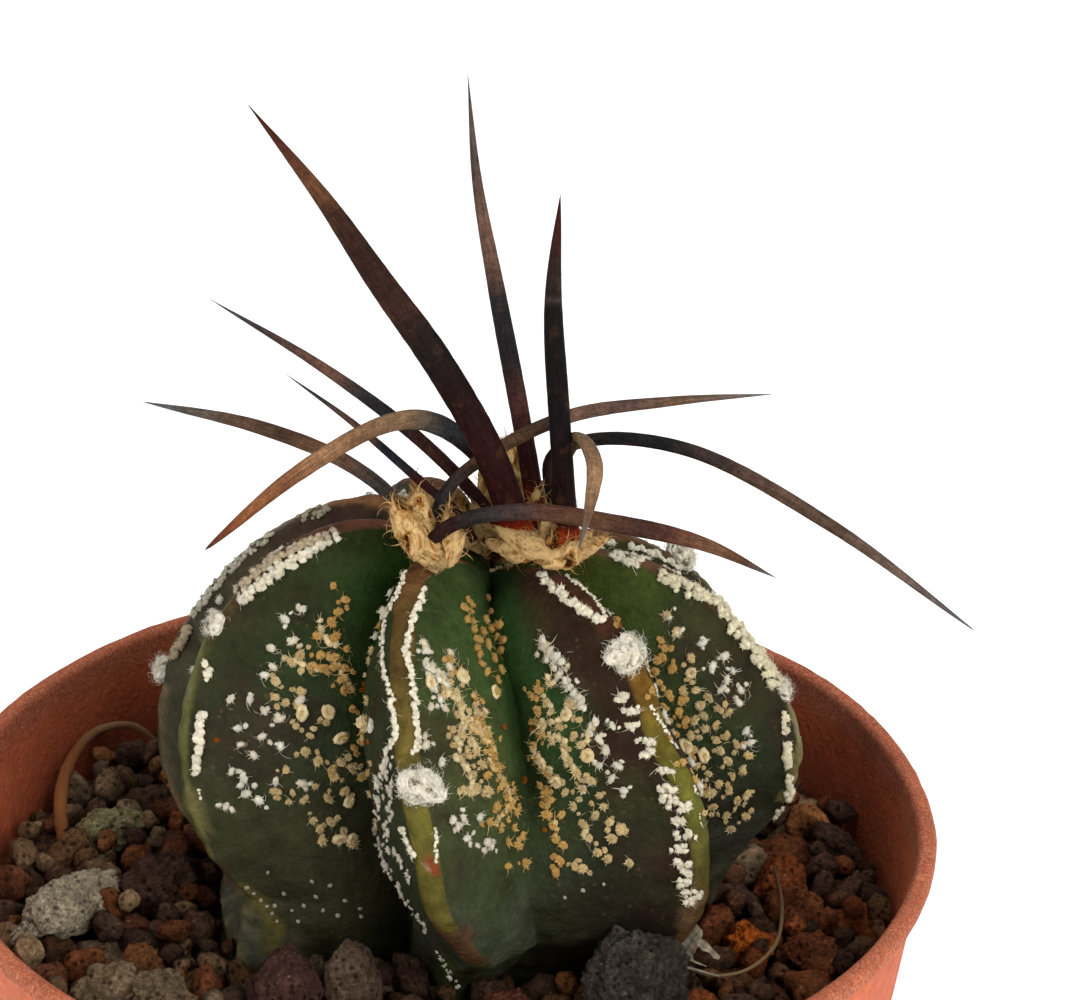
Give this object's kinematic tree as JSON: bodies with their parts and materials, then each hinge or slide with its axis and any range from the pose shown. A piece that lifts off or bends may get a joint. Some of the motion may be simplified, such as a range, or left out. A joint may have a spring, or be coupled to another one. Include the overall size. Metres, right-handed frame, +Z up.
{
  "type": "goats horn cactus in a pot",
  "caption": "Ribbed goats horn cactus with woolly areoles, white flecks and long curved horn-like spines, growing in gravel in a small round pot.",
  "frame": {"origin": "centre of the pot's flat base, which rests on the surface", "axes": "+Z up along the pot's axis, -Y to the front of the plant as pictured, +X to its right"},
  "size_m": [0.0661, 0.065, 0.1037],
  "materials": {
    "pot": "matte, fine grain",
    "gravel": "rough",
    "cactus_skin": "satin",
    "wool": "crinkled",
    "white_wool": "woolly",
    "spine": "satin",
    "root_fibre": "dry",
    "husk": "dry",
    "stone_dark_grey": "rough",
    "stone_red_brown": "rough",
    "stone_taupe": "rough",
    "stone_purple": "rough",
    "stone_tan_rough": "pitted",
    "stone_grey_long": "rough",
    "stone_violet": "rough",
    "stone_green_grey": "rough",
    "stone_orange": "rough",
    "stone_orange_brown": "rough",
    "stone_rust": "rough",
    "stone_back_grey": "rough",
    "stone_back_rust": "rough",
    "stone_back_tan": "rough"
  },
  "bodies": {
    "root": {"pot": "pot", "gravel_bed": "gravel", "cactus_body": "cactus_skin", "stone_dark_grey": "stone_dark_grey", "stone_red_brown": "stone_red_brown", "stone_taupe": "stone_taupe", "stone_purple": "stone_purple", "stone_tan_rough": "stone_tan_rough", "stone_grey_long": "stone_grey_long", "stone_violet": "stone_violet", "stone_green_grey": "stone_green_grey", "stone_orange": "stone_orange", "stone_orange_brown": "stone_orange_brown", "stone_rust": "stone_rust", "stone_back_grey": "stone_back_grey", "stone_back_rust": "stone_back_rust", "stone_back_tan": "stone_back_tan", "root_fibre_left": "root_fibre", "root_fibre_right": "root_fibre", "husk": "husk", "crown_wool": "wool", "areole_wool_front": "wool", "areole_wool_front_right": "wool", "areole_wool_left": "wool", "areole_wool_back": "wool", "rib_tuft_front": "white_wool", "rib_tuft_front_right": "white_wool", "rib_tuft_right": "white_wool", "rib_tuft_back_right": "white_wool", "rib_tuft_back": "white_wool", "rib_tuft_back_left": "white_wool", "rib_tuft_left": "white_wool", "rib_tuft_front_left": "white_wool", "spine_tall_left": "spine", "spine_upright": "spine", "spine_tall_back": "spine", "spine_back_left": "spine", "spine_thin_left": "spine", "spine_low_left": "spine", "spine_arched": "spine", "spine_upper_right": "spine", "spine_long_right": "spine", "spine_claw": "spine", "spine_front_right": "spine"}
  },
  "joints": []
}
